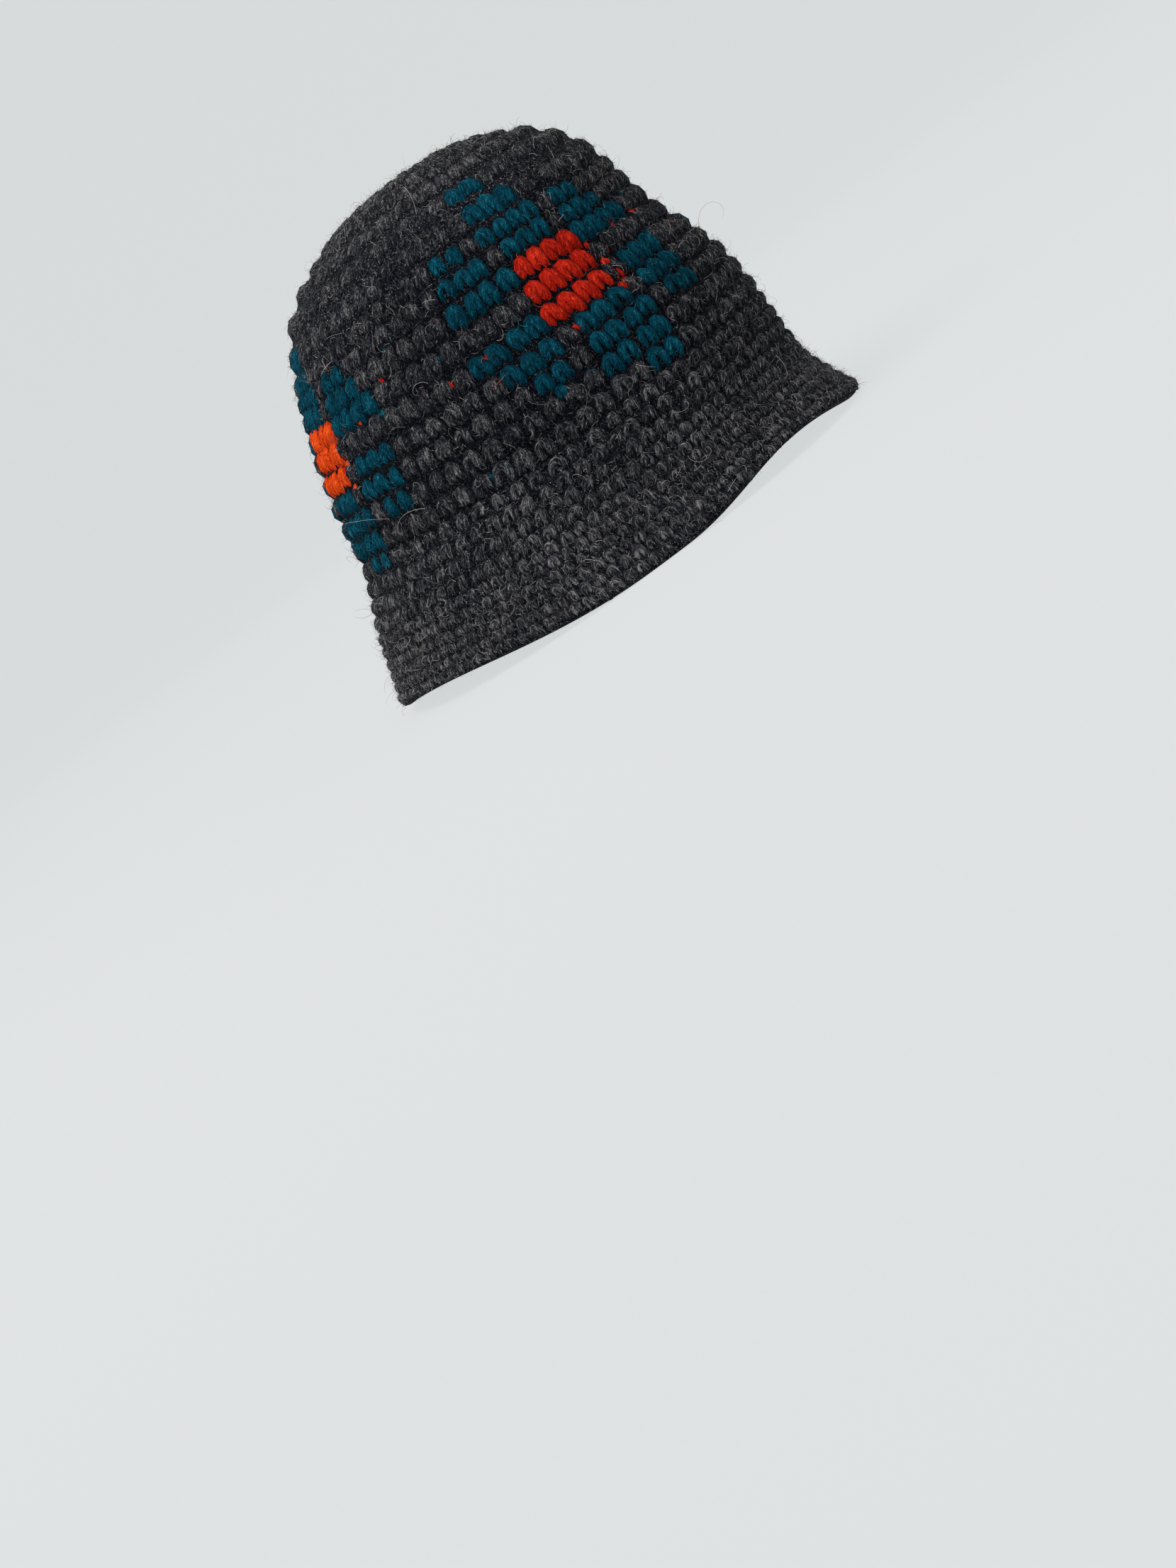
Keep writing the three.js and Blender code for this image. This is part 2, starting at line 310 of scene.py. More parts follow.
def ground_shell(name, first, last, columns, thickness, poles=False, lip=False):
    """A closed shell from the start of one round to the end of another, and a little past both where
    another shell follows, so that no seam shows. Outside it is a ridge for each round, deepest between
    rounds. Inside it swells by a bar for each stitch: the product of one wave along the round and one across
    it. A lip is half an ellipse, from the outside under to the inside. Poles close the shell in the middle
    of the crown."""
    azimuth = np.linspace(0, 2 * np.pi, columns, endpoint=False)[None, :]
    top = STARTS[first] + (POLE_HOLE if poles else -OVERLAP)
    end = STARTS[last] + (0 if lip else OVERLAP)
    outer = np.linspace(top, end, OUTER_ROWS * (last - first) + 1)[:, None]
    inner = np.linspace(end, top, INNER_ROWS * (last - first) + 1)[:, None]
    wave = np.sin(np.pi * (np.interp(outer, STARTS, np.arange(ROUND_COUNT + 1)) % 1))
    groove = np.interp(outer, (STARTS[:-1] + STARTS[1:]) / 2, GROOVE)
    outside = wall(outer - sway(outer, azimuth), azimuth, groove - GROUND_RELIEF * wave)
    place = np.clip(np.interp(inner, STARTS, np.arange(ROUND_COUNT + 1)), first, last - 1e-6)
    number = place.astype(int)
    turn = (azimuth - round_start(number)) * STITCHES[number] / (2 * np.pi)
    crosswise = 0.55 + 0.45 * np.cos(2 * np.pi * (turn + BAR_LEAN * (place % 1)))
    bars = np.sin(np.pi * (place % 1)) * crosswise
    inside = wall(inner - sway(inner, azimuth), azimuth, thickness - BAR_RELIEF + BAR_RELIEF * bars)
    dye, _ = dye_of(np.broadcast_to(number, turn.shape), np.floor(turn).astype(int))
    parts = [outside, inside]
    dyes = [np.zeros(outside.shape[:2]), dye]
    # Painted shade: the outside is darker the deeper its groove, and the lip's underside half as dark.
    painted_shade = np.broadcast_to(GROUND_PAINTED_SHADE * groove / GROOVE.max(), outside.shape[:2])
    shades = [painted_shade, np.zeros(dye.shape)]
    if lip:
        turned = np.linspace(0, np.pi, LIP_ROWS + 2)[1:-1, None]
        middle = (GROOVE[-1] + thickness - BAR_RELIEF) / 2
        half = middle - GROOVE[-1]
        under = wall(end + half * np.sin(turned) * LIP_BULGE, azimuth, middle - half * np.cos(turned))
        parts.insert(1, under)
        dyes.insert(1, np.zeros(under.shape[:2]))
        shades.insert(1, np.full(under.shape[:2], GROUND_PAINTED_SHADE / 2))
    points = np.concatenate(parts)
    rows = len(points)
    faces = [grid_faces(rows, columns, closed_rows=not poles)]
    flat = points.reshape(-1, 3)
    dye = np.concatenate(dyes).ravel()
    shade = np.concatenate(shades).ravel()
    if poles:
        flat = np.vstack([flat, points[0].mean(0), points[-1].mean(0)])
        here = np.arange(columns)
        beside = (here + 1) % columns
        base = (rows - 1) * columns
        over = np.stack([np.full(columns, rows * columns), here, beside], -1)
        under = np.stack([np.full(columns, rows * columns + 1), base + beside, base + here], -1)
        faces += [over, under]
        dye = np.append(dye, [0, 0])
        # Painted shade at the outer pole point.
        shade = np.append(shade, [GROUND_PAINTED_SHADE, 0])
    piece = mesh_piece(name, flat, faces)
    give(piece, "dye", dye / 2)
    give(piece, "shade", shade)
    return piece


def shader(material, kind, **values):
    """A node of a material with its sockets set by name."""
    node = material.node_tree.nodes.new(kind)
    for key, value in values.items():
        socket = key.replace("_", " ")
        if socket in node.inputs:
            node.inputs[socket].default_value = value
        else:
            setattr(node, key, value)
    return node


def ramp(material, source, stops):
    """Colours along a number: each stop is a place from 0 to 1 and a colour."""
    node = material.node_tree.nodes.new("ShaderNodeValToRGB")
    elements = node.color_ramp.elements
    while len(elements) < len(stops):
        elements.new(0.5)
    for element, (place, colour) in zip(elements, stops):
        element.position = place
        element.color = (*colour, 1)
    material.node_tree.links.new(source, node.inputs["Fac"])
    return node.outputs["Color"]


CHARCOAL_STOPS = [
    (0.37, (0.0006, 0.0008, 0.0018)),
    (0.47, (0.0075, 0.0082, 0.0120)),
    (0.54, (0.0350, 0.0355, 0.0410)),
    (0.66, (0.2300, 0.2200, 0.2150)),
]
TEAL_STOPS = [
    (0.36, (0.0000, 0.0050, 0.0095)),
    (0.48, (0.0006, 0.0260, 0.0430)),
    (0.58, (0.0018, 0.0680, 0.1060)),
    (0.72, (0.0300, 0.2200, 0.2750)),
]
RED_STOPS = [
    (0.34, (0.0800, 0.0015, 0.0010)),
    (0.47, (0.3000, 0.0080, 0.0035)),
    (0.58, (0.5600, 0.0240, 0.0090)),
    (0.74, (0.8800, 0.1300, 0.0500)),
]
# Painted light: an oranger, lighter copy of the red, for the low flower on the lit side.
ORANGE_STOPS = [
    (0.34, (0.2000, 0.0080, 0.0015)),
    (0.47, (0.5000, 0.0380, 0.0030)),
    (0.58, (0.7800, 0.0900, 0.0080)),
    (0.74, (1.0000, 0.2600, 0.0600)),
]


def new_material(name):
    """A material with no nodes yet."""
    material = bpy.data.materials.new(name)
    material.use_nodes = True
    material.node_tree.nodes.clear()
    return material


def wool_surface(material, colour, height, relief):
    """Matte wool: a rough surface with a bump from the fibres."""
    bump = shader(material, "ShaderNodeBump", Strength=0.9, Distance=relief)
    skin = shader(material, "ShaderNodeBsdfPrincipled", Roughness=0.92)
    skin.inputs["Specular IOR Level"].default_value = 0.04
    output = shader(material, "ShaderNodeOutputMaterial")
    links = material.node_tree.links
    links.new(height, bump.inputs["Height"])
    links.new(bump.outputs["Normal"], skin.inputs["Normal"])
    links.new(colour, skin.inputs["Base Color"])
    links.new(skin.outputs["BSDF"], output.inputs["Surface"])


TEAL_FROM = 0.3
RED_FROM = 0.8


def ground_material():
    """The wall behind and inside: short fibres in every direction, in the colour of the yarn that shows."""
    material = new_material("felted_ground")
    links = material.node_tree.links
    place = shader(material, "ShaderNodeTexCoord")
    fibres = shader(material, "ShaderNodeTexNoise", Scale=900.0, Detail=3.0, Roughness=0.65, Distortion=1.2)
    links.new(place.outputs["Object"], fibres.inputs["Vector"])
    dye = shader(material, "ShaderNodeAttribute", attribute_name="dye")
    # The shade attribute carries the painted shade of the outside's grooves.
    shade = shader(material, "ShaderNodeAttribute", attribute_name="shade")
    toned = shader(material, "ShaderNodeMath", operation="ADD")
    links.new(fibres.outputs["Fac"], toned.inputs[0])
    links.new(shade.outputs["Fac"], toned.inputs[1])
    charcoal = ramp(material, toned.outputs["Value"], CHARCOAL_STOPS)
    teal = ramp(material, toned.outputs["Value"], TEAL_STOPS)
    red = ramp(material, toned.outputs["Value"], RED_STOPS)
    is_teal = shader(material, "ShaderNodeMath", operation="GREATER_THAN")
    is_teal.inputs[1].default_value = TEAL_FROM
    is_red = shader(material, "ShaderNodeMath", operation="GREATER_THAN")
    is_red.inputs[1].default_value = RED_FROM
    links.new(dye.outputs["Fac"], is_teal.inputs[0])
    links.new(dye.outputs["Fac"], is_red.inputs[0])
    first = shader(material, "ShaderNodeMix", data_type="RGBA")
    links.new(is_teal.outputs["Value"], first.inputs["Factor"])
    links.new(charcoal, first.inputs[6])
    links.new(teal, first.inputs[7])
    second = shader(material, "ShaderNodeMix", data_type="RGBA")
    links.new(is_red.outputs["Value"], second.inputs["Factor"])
    links.new(first.outputs[2], second.inputs[6])
    links.new(red, second.inputs[7])
    wool_surface(material, second.outputs[2], fibres.outputs["Fac"], 0.5 * MM)
    return material


ground_wool = ground_material()
SHELLS = [
    ("crown_top_wall", "crown_top", 0, SIDE_FROM, 196, CROWN_WALL, dict(poles=True)),
    ("crown_side_wall", "crown_side", SIDE_FROM, BRIM_FROM, 272, CROWN_WALL, {}),
    ("brim_wall", "brim", BRIM_FROM, ROUND_COUNT, 252, BRIM_WALL, dict(lip=True)),
]
for name, node, first, last, columns, thickness, ends in SHELLS:
    shell = ground_shell(name, first, last, columns, thickness, **ends)
    shell.data.materials.append(ground_wool)
    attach(shell, "root")
    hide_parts(node)

# The stitches of the crown and the brim
# Each stitch is one loop of doubled, loosely twisted wool: up the left leg, over, and down the right leg,
# which is fatter and slants over the next stitch. Both feet go in under the round below, which leaves a
# groove, darkened by painted shade that grows the deeper the yarn lies.
LOOP = np.array(
    [
        (-0.18, -0.55, -1.45, 0.78),
        (-0.24, -0.39, -0.58, 0.94),
        (-0.27, -0.14, -0.04, 1.00),
        (-0.23, 0.13, 0.00, 1.04),
        (-0.06, 0.30, -0.42, 1.06),
        (0.12, 0.17, 0.06, 1.16),
        (0.19, -0.08, 0.18, 1.22),
        (0.27, -0.37, -0.50, 1.14),
        (0.29, -0.56, -1.40, 0.92),
    ],
    dtype=[("across", float), ("up", float), ("out", float), ("girth", float)],
)
LOOP_RINGS = 10
LOOP_SIDES = 7
TWIST = 260.0
YARN_SHARE = 0.245
OF_WIDTH = 0.7
OF_HEIGHT = 0.36
MOST_OF_HEIGHT = 0.88
SNUG_FATTER = 0.25
SNUG_NARROWER = 0.06
SNUG_FLATTER = 0.3
SINK = 0.78
SPECK_RISE = 0.5
UNEVEN_WIDTH = 0.05
UNEVEN_PLACE = 0.035
UNEVEN_HEIGHT = 0.03
UNEVEN_RISE = 0.010
UNEVEN_TILT = np.radians(4.0)
UNEVEN_OUT = 0.15 * MM
WANDER_ACROSS = 0.05
WANDER_UP = 0.02
WANDER_GIRTH = 0.08
RIPPLE = 0.4 * MM
SUNK_REACH = 2.4
SNUG_LESS_PAINTED_SHADE = 0.30


def tube_faces(tubes, rings, sides):
    """Side and end faces of tubes whose points are stored ring by ring."""
    start = (np.arange(tubes) * rings * sides)[:, None, None]
    ring = (np.arange(rings - 1) * sides)[None, :, None]
    side = np.arange(sides)[None, None, :]
    beside = (side + 1) % sides
    corners = (ring + side, ring + sides + side, ring + sides + beside, ring + beside)
    walls = np.stack([start + c for c in corners], -1).reshape(-1, 4)
    first = start[:, 0] + side[0]
    last = start[:, 0] + (rings - 1) * sides + side[0, :, ::-1]
    return [walls, np.concatenate([first, last])]


def loops(round_number, azimuth, size, rise):
    """Loops of yarn laid on the wall, one for each round number and azimuth given. Each is a tube round the
    smooth curve through LOOP's rows, scaled by the stitch's width and height and by size, turned and moved a
    little by chance, raised along the wall by a share of the round's height, and bent with the wall. In snug
    rounds the yarn is fatter for its stitch. Returns the tubes' points, their middle lines, each point's
    place in the yarn as if the yarn were pulled straight, and how deep it is sunk, from 0 at the crest
    to 1."""
    count = len(round_number)
    snug = SNUG[round_number][:, None]
    size = np.asarray(size, float)[:, None]
    height = PITCH[round_number][:, None]
    middle = (STARTS[round_number] + PITCH[round_number] / 2)[:, None]
    azimuth = np.asarray(azimuth, float)[:, None]
    arc = arc_radius(middle, azimuth)
    width = 2 * np.pi * arc / STITCHES[round_number][:, None]
    widest = height * (MOST_OF_HEIGHT + SNUG_FATTER * snug)
    yarn = YARN_SHARE * np.minimum(OF_WIDTH * width + OF_HEIGHT * height, widest)
    raised = rise[:, None] * height
    depth = yarn * (SINK - SPECK_RISE * (1 - np.minimum(size, 1)))
    height = height * size
    width = width * size * (1 - SNUG_NARROWER * snug)
    yarn = yarn * size
    shape = through(np.stack([LOOP[c] for c in LOOP.dtype.names], -1), np.linspace(0, 1, LOOP_RINGS))
    uneven = chance.normal(0, 1, (count, 6, 1))
    wander = through(chance.normal(0, 1, (5, count * 3)), np.linspace(0, 1, LOOP_RINGS))
    wander = wander.reshape(LOOP_RINGS, count, 3).transpose(1, 0, 2)
    across = shape[:, 0] * width * (1 + UNEVEN_WIDTH * uneven[:, 0]) + UNEVEN_PLACE * width * uneven[:, 1]
    up = shape[:, 1] * height * (1 + UNEVEN_HEIGHT * uneven[:, 2]) + UNEVEN_RISE * height * uneven[:, 3]
    tilt = UNEVEN_TILT * uneven[:, 4]
    across, up = across - tilt * up, up + tilt * across
    out = shape[:, 2] * yarn * (1 - SNUG_FLATTER * snug) + UNEVEN_OUT * uneven[:, 5]
    across = across + WANDER_ACROSS * width * wander[..., 0]
    up = up + WANDER_UP * height * wander[..., 1]
    girth = yarn * shape[:, 3] * (1 + WANDER_GIRTH * wander[..., 2])
    along = [np.gradient(c, axis=1) for c in (across, up, out)]
    flat = np.hypot(along[0], along[1])
    whole = np.hypot(flat, along[2])
    side = np.stack([along[1] / flat, -along[0] / flat, np.zeros_like(flat)], -1)
    lift = np.stack([side[..., 1] * along[2], -side[..., 0] * along[2], flat], -1) / whole[..., None]
    turn = np.linspace(0, 2 * np.pi, LOOP_SIDES, endpoint=False)
    ring = np.cos(turn)[:, None] * side[:, :, None] + np.sin(turn)[:, None] * lift[:, :, None]
    core = np.stack([across, up, out], -1)
    local = core[:, :, None] + girth[..., None, None] * ring
    travelled = np.cumsum(whole, 1)
    twisted = turn + TWIST * travelled[..., None]
    place = np.stack(
        np.broadcast_arrays(
            travelled[..., None],
            girth[..., None] * np.cos(twisted),
            girth[..., None] * np.sin(twisted),
        ),
        -1,
    )
    place = place + 0.4 * chance.random((count, 1, 1, 3))

    def laid(p):
        """Points of the loops, given across, up and out of the wall, bent round the hat."""
        shift = tuple(range(1, p.ndim - 1))
        down = np.expand_dims(middle[:, 0], shift)
        from_front = np.expand_dims(azimuth[:, 0], shift)
        reach = np.expand_dims(arc[:, 0], shift)
        deep = np.expand_dims(depth[:, 0], shift)
        ripple = RIPPLE * np.sin(8 * from_front + 0.8 * np.expand_dims(round_number, shift))
        lifted = np.expand_dims(raised[:, 0], shift) + sway(down, from_front) + ripple
        return wall(down - lifted - p[..., 1], from_front + p[..., 0] / reach, deep - p[..., 2])

    # How deep each point lies in the groove, for the painted shade that darkens the yarn toward the feet;
    # snug rounds get less of it.
    sunk = np.clip(0.5 - local[..., 2] / (SUNK_REACH * yarn[..., None]), 0, 1)
    sunk = sunk * (1 - SNUG_LESS_PAINTED_SHADE * snug[..., None])
    return laid(local), laid(core), place, sunk


STREAKS = np.array(
    [(420, 2600, 3.0, 0.62), (260, 800, 2.0, 0.38)],
    dtype=[("along", float), ("across", float), ("detail", float), ("share", float)],
)


def yarn_material(name, stops, warm_stops=None):
    """Spun wool: fine streaks and soft tufts that run along the yarn and turn with its twist, each stitch
    lighter or darker than the next. Where a second set of stops is given, warmth blends toward it."""
    material = new_material(name)
    links = material.node_tree.links
    yarn = shader(material, "ShaderNodeAttribute", attribute_name="yarn")
    # The shade attribute brings each stitch's own tone and the painted shade and light set in stitch_piece.
    shade = shader(material, "ShaderNodeAttribute", attribute_name="shade")
    layers = []
    for along, across, detail, share in STREAKS.tolist():
        stretched = shader(material, "ShaderNodeVectorMath", operation="MULTIPLY")
        stretched.inputs[1].default_value = (along, across, across)
        links.new(yarn.outputs["Vector"], stretched.inputs[0])
        noise = shader(material, "ShaderNodeTexNoise", Scale=1.0, Detail=detail, Roughness=0.62)
        noise.inputs["Distortion"].default_value = 0.5
        links.new(stretched.outputs["Vector"], noise.inputs["Vector"])
        weighed = shader(material, "ShaderNodeMath", operation="MULTIPLY")
        weighed.inputs[1].default_value = share
        links.new(noise.outputs["Fac"], weighed.inputs[0])
        layers.append(weighed.outputs["Value"])
    fibres = shader(material, "ShaderNodeMath", operation="ADD")
    links.new(layers[0], fibres.inputs[0])
    links.new(layers[1], fibres.inputs[1])
    toned = shader(material, "ShaderNodeMath", operation="ADD")
    links.new(fibres.outputs["Value"], toned.inputs[0])
    links.new(shade.outputs["Fac"], toned.inputs[1])
    colour = ramp(material, toned.outputs["Value"], stops)
    # Warmth blends toward the painted-light copy of the colour.
    if warm_stops:
        warm = ramp(material, toned.outputs["Value"], warm_stops)
        warmth = shader(material, "ShaderNodeAttribute", attribute_name="warmth")
        blend = shader(material, "ShaderNodeMix", data_type="RGBA")
        links.new(warmth.outputs["Fac"], blend.inputs["Factor"])
        links.new(colour, blend.inputs[6])
        links.new(warm, blend.inputs[7])
        colour = blend.outputs[2]
    wool_surface(material, colour, fibres.outputs["Value"], 0.9 * MM)
    return material


def stitches_of(rounds):
    """Round number and count from the first flower's middle of every stitch in these rounds."""
    numbers = np.repeat(rounds, STITCHES[rounds])
    counts = np.concatenate([np.arange(STITCHES[r]) for r in rounds])
    return numbers, counts


TURN_PER_ROUND = 0.618


def stitches_at(numbers, counts, size=1.0, rise=0.0, warmth=0.0):
    """Round number, azimuth, size, rise and warmth of stitches counted from the first flower's middle.
    Rounds without a chart start anywhere in a stitch's width, and the back is pulled round by BACK_TURN."""
    plain = (numbers < SIDE_FROM) | (numbers > BRIM_FROM)
    shift = np.where(plain, (TURN_PER_ROUND * numbers) % 1, 0)
    azimuth = round_start(numbers) + (counts + 0.5 + shift) * 2 * np.pi / STITCHES[numbers]
    azimuth = azimuth - BACK_TURN * np.maximum(0, -np.cos(azimuth)) ** 2
    return [np.broadcast_to(a, azimuth.shape) for a in (numbers, azimuth, size, rise, warmth)]


DYE_PATCH = 0.010
DYE_STITCH = 0.009
CREST_SHADE = 0.002
# Painted shade deep in the grooves between and under the loops.
SUNK_PAINTED_SHADE = -0.19
# Snug rounds are lighter: partly their paler felted wool, partly painted light for the shallower shade in
# their grooves.
SNUG_FELT_AND_PAINTED_LIGHT = 0.018
# Painted light: the crown's top stitches are made lighter, as lit from above.
TOP_PAINTED_LIGHT = 0.012


def stitch_piece(name, stitches, material):
    """One piece of many loops. Returns the loops' points and middle lines, on which the hair grows."""
    numbers, azimuth, size, rise, warmth = stitches
    points, core, yarn, sunk = loops(numbers, azimuth, size, rise)
    piece = mesh_piece(name, points.reshape(-1, 3), tube_faces(len(numbers), LOOP_RINGS, LOOP_SIDES))
    patch = np.sin(5 * azimuth + 0.7 * numbers) * np.sin(3 * azimuth - 0.9 * numbers)
    shade = DYE_PATCH * patch + DYE_STITCH * chance.normal(0, 1, len(numbers))
    # Painted light: snug rounds are lighter in part, and the crown's top is lighter.
    shade = shade + SNUG_FELT_AND_PAINTED_LIGHT * SNUG[numbers] + TOP_PAINTED_LIGHT * (numbers < SIDE_FROM)
    # Painted shade: the yarn is darker the deeper it sits in the groove.
    shade = shade[:, None, None] + CREST_SHADE + SUNK_PAINTED_SHADE * sunk**1.5
    each = LOOP_RINGS * LOOP_SIDES
    give(piece, "yarn", yarn.reshape(-1, 3))
    give(piece, "shade", shade.ravel())
    give(piece, "warmth", np.repeat(warmth, each))
    piece.data.materials.append(material)
    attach(piece, "root")
    return points, core


charcoal_yarn = yarn_material("charcoal_yarn", CHARCOAL_STOPS)
teal_yarn = yarn_material("teal_yarn", TEAL_STOPS)
red_yarn = yarn_material("red_yarn", RED_STOPS, ORANGE_STOPS)

top_stitches = stitches_at(*stitches_of(np.arange(SIDE_FROM)))
top_loops = stitch_piece("crown_top_stitches", top_stitches, charcoal_yarn)

# The crown's side, with its four block flowers
# The same loops change yarn from stitch to stitch, as the chart says. The yarns not in use run along behind
# and show between the legs as small specks, most of them beside the flowers, in the same places at all four.
# How far the low flower's red is blended toward its painted-light orange copy.
ORANGE_SHARE = 0.85
CARRIED = np.array(
    [
        (4, -9.6, 0.30, TEAL, 0.30),
        (5, -7.1, 0.02, TEAL, 0.43),
        (5, -8.4, -0.05, TEAL, 0.37),
        (5, -10.3, 0.34, RED, 0.37),
        (5, -14.2, -0.10, RED, 0.43),
        (5, 2.25, 0.36, RED, 0.23),
        (5, 4.6, 0.38, RED, 0.20),
        (6, -8.4, 0.05, RED, 0.32),
        (6, -7.1, 0.00, RED, 0.37),
        (6, -5.0, 0.05, RED, 0.34),
        (6, -10.8, 0.30, TEAL, 0.30),
        (6, 2.45, 0.34, RED, 0.40),
        (6, -14.6, -0.20, RED, 0.46),
        (7, -1.05, 0.02, RED, 0.30),
        (7, -5.3, 0.00, RED, 0.37),
        (7, 2.50, 0.30, RED, 0.40),
        (7, -14.9, 0.20, RED, 0.41),
        (9, -1.5, 0.16, TEAL, 0.65),
        (9, -2.9, 0.36, TEAL, 0.70),
        (10, -7.1, 0.00, TEAL, 0.43),
        (10, -6.2, 0.10, TEAL, 0.32),
    ],
    dtype=[("round", int), ("stitch", float), ("rise", float), ("dye", int), ("size", float)],
)


def carried(dye):
    """Specks of one yarn at all four flowers."""
    rows = np.tile(CARRIED[CARRIED["dye"] == dye], FLOWERS)
    flower = np.repeat(np.arange(FLOWERS), len(rows) // FLOWERS)
    numbers = rows["round"] + SIDE_FROM + (flower == LOW_FLOWER)
    counts = rows["stitch"] - 0.5 + flower * STITCHES[CENTRE_ROUND] / FLOWERS
    warmth = np.where(flower == LOW_FLOWER, ORANGE_SHARE, 0.0)
    return stitches_at(numbers, counts, rows["size"], rows["rise"], warmth)


numbers, counts = stitches_of(np.arange(SIDE_FROM, BRIM_FROM + 1))
dye, flower = dye_of(numbers, counts)
warmth = np.where(flower == LOW_FLOWER, ORANGE_SHARE, 0.0)
grey = (dye == CHARCOAL) & (numbers < BRIM_FROM)
side_stitches = stitches_at(numbers[grey], counts[grey])
side_loops = stitch_piece("crown_side_stitches", side_stitches, charcoal_yarn)
teal = dye == TEAL
red = dye == RED
petals = stitches_at(numbers[teal], counts[teal], warmth=warmth[teal])
centres = stitches_at(numbers[red], counts[red], warmth=warmth[red])
petals = [np.concatenate(both) for both in zip(petals, carried(TEAL))]
centres = [np.concatenate(both) for both in zip(centres, carried(RED))]
petal_loops = stitch_piece("flower_petals", petals, teal_yarn)
centre_loops = stitch_piece("flower_centres", centres, red_yarn)

# The brim
# Four rounds narrower than the crown's, then six finer and denser ones of the same wool, worked tighter and
# rubbed nearly into felt.
numbers, counts = stitches_of(np.arange(BRIM_FROM, ROUND_COUNT))
dye, _ = dye_of(numbers, counts)
brim_stitches = stitches_at(numbers[dye == CHARCOAL], counts[dye == CHARCOAL])
brim_loops = stitch_piece("brim_stitches", brim_stitches, charcoal_yarn)

# The hair of the wool
# Every yarn sheds fine fibres. Most are short, some lie over the stitches, and a few long pale ones curl
# away from the brim and the crown.
HAIR = 0.068 * MM
HAIR_SIDES = 3
LEAN_LYING = 0.12
LEAN_STANDING = 0.9
BACK_TO_WALL = 0.7
LENGTH_SPREAD = 0.4
HAIR_TAPER = 0.6


def unit(vectors):
    """Vectors of length one."""
    return vectors / np.maximum(np.linalg.norm(vectors, axis=-1, keepdims=True), 1e-9)


def hair_mesh(name, path, girth, tone):
    """Closed three-sided fibres along paths of points: three points round each path point but the last,
    square to the path's direction there, and one point at the tip. Each fibre has one tone."""
    along = unit(np.gradient(path, axis=1))
    side = unit(np.cross(along, unit(chance.normal(0, 1, (len(path), 1, 3)))))
    lift = np.cross(along, side)
    turn = np.linspace(0, 2 * np.pi, HAIR_SIDES, endpoint=False)[:, None]
    ring = np.cos(turn) * side[:, :-1, None] + np.sin(turn) * lift[:, :-1, None]
    tubes = path[:, :-1, None] + girth[:, :-1, None, None] * ring
    points = np.concatenate([tubes.reshape(len(path), -1, 3), path[:, -1:]], 1)
    each = points.shape[1]
    start = (np.arange(len(path)) * each)[:, None, None]
    here = np.arange(HAIR_SIDES)[None, None, :]
    beside = (here + 1) % HAIR_SIDES
    rise = (np.arange(path.shape[1] - 2) * HAIR_SIDES)[None, :, None]
    corners = (rise + here, rise + HAIR_SIDES + here, rise + HAIR_SIDES + beside, rise + beside)
    walls = np.stack([start + c for c in corners], -1).reshape(-1, 4)
    last = each - 1 - HAIR_SIDES
    tip = np.stack(np.broadcast_arrays(start + last + here, start + each - 1, start + last + beside), -1)
    foot = start[:, 0] + here[0, :, ::-1]
    piece = mesh_piece(name, points.reshape(-1, 3), [walls, tip.reshape(-1, 3), foot])
    give(piece, "tone", np.repeat(tone, each))
    return piece


def roots_on(loops_made, count):
    """Points picked at random on the outer half of the loops, with the direction out of the yarn there."""
    points, core = loops_made
    sides = np.arange(1, LOOP_SIDES // 2 + 1)
    which = chance.integers(0, len(points), count)
    ring = chance.integers(1, LOOP_RINGS - 1, count)
    side = chance.choice(sides, count)
    root = points[which, ring, side]
    return root, unit(root - core[which, ring])


def hair_piece(name, loops_made, count, material, slot, length, rings, lying, turned):
    """Short fibres, each an arc: it leaves its root along a direction between out of the yarn and flat on
    it, and turns by an angle, mostly back toward the wall. Its girth falls toward the tip."""
    root, out = roots_on(loops_made, count)
    flat = unit(np.cross(out, chance.normal(0, 1, (count, 3))))
    lean = np.where(chance.random(count) < lying, LEAN_LYING, LEAN_STANDING)[:, None]
    lean = lean * chance.uniform(0.5, 1.3, (count, 1))
    heading = unit(lean * out + flat * chance.uniform(0.4, 1.0, (count, 1)))
    aside = chance.normal(0, 1, (count, 3)) - BACK_TO_WALL * out
    aside = unit(aside - (aside * heading).sum(1, keepdims=True) * heading)
    reach = chance.lognormal(np.log(length), LENGTH_SPREAD, (count, 1, 1))
    angle = chance.uniform(*turned, (count, 1, 1))
    share = np.linspace(0, 1, rings)[:, None]
    path = np.sin(angle * share) * heading[:, None] + (1 - np.cos(angle * share)) * aside[:, None]
    path = root[:, None] + reach * path / angle
    path[..., 2] = np.maximum(path[..., 2], FLOOR_CLEAR)
    thick = HAIR * chance.uniform(0.7, 1.3, (count, 1)) * (1 - HAIR_TAPER * share[None, :, 0])
    piece = hair_mesh(name, path, thick, chance.random(count))
    piece.data.materials.append(material)
    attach(piece, "root")


def hair_material(name, stops):
    """Single fibres, each its own tone, as pale as light through one fibre makes it."""
    material = new_material(name)
    tone = shader(material, "ShaderNodeAttribute", attribute_name="tone")
    colour = ramp(material, tone.outputs["Fac"], stops)
    skin = shader(material, "ShaderNodeBsdfPrincipled", Roughness=0.8)
    skin.inputs["Specular IOR Level"].default_value = 0.05
    output = shader(material, "ShaderNodeOutputMaterial")
    material.node_tree.links.new(colour, skin.inputs["Base Color"])
    material.node_tree.links.new(skin.outputs["BSDF"], output.inputs["Surface"])
    return material


